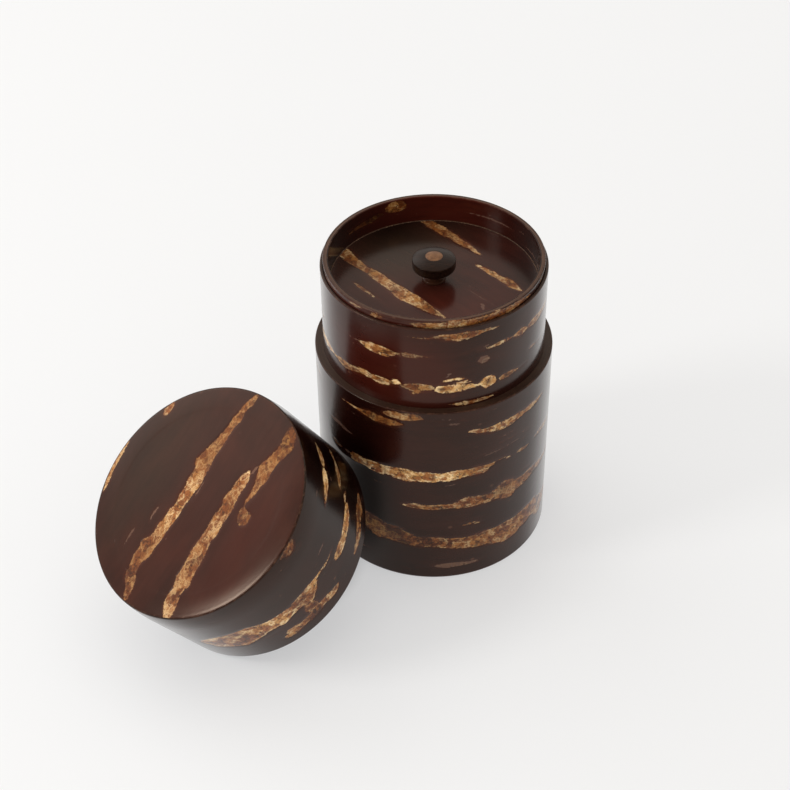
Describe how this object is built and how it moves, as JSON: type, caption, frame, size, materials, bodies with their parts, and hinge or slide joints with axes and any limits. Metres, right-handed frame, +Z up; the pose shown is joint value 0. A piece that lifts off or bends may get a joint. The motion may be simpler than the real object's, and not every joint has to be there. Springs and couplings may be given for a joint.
{
  "type": "tea caddy",
  "caption": "Round bark-covered tea caddy: straight body with a stepped-in collar, a knobbed inner lid seated in the collar, and a close-fitting outer lid resting against the body.",
  "frame": {"origin": "centre of the underside of the caddy's body, on the table", "axes": "+Z up along the body's axis; the loose outer lid leans on the body on the -X, -Y side, and the pictured side faces -Y"},
  "size_m": [0.1504, 0.1359, 0.1086],
  "materials": {
    "bark": "satin lacquered cherry bark",
    "edge_veneer": "satin, dark-lacquered cut edges",
    "plain_wood": "matte",
    "knob_wood": "satin",
    "plug_wood": "satin"
  },
  "bodies": {
    "caddy_body": {"body_outer_bark": "bark", "body_core_tube": "edge_veneer", "collar_core_tube": "edge_veneer", "collar_bark": "bark", "liner_bark": "bark", "bottom_board": "plain_wood", "bottom_bark": "bark", "floor_bark": "bark"},
    "inner_lid": {"inner_lid_ring": "edge_veneer", "inner_lid_outer_bark": "bark", "inner_lid_inner_bark": "bark", "inner_lid_board": "plain_wood", "inner_lid_top_bark": "bark", "inner_lid_under_bark": "bark", "knob": "knob_wood", "knob_plug": "plug_wood", "knob_peg": "plain_wood"},
    "outer_lid": {"lid_outer_bark": "bark", "lid_core_tube": "edge_veneer", "lid_lining_bark": "bark", "lid_top_board": "plain_wood", "lid_top_bark": "bark", "lid_ceiling_bark": "bark"}
  },
  "joints": [
    {"name": "inner_lid_lift", "type": "slide", "parent": "caddy_body", "child": "inner_lid", "axis": [0, 0, 1], "range_m": [0, 0.06]},
    {"name": "outer_lid_lift", "type": "slide", "parent": "caddy_body", "child": "outer_lid", "axis": [0, 0, 1], "range_m": [0, 0.14]}
  ]
}
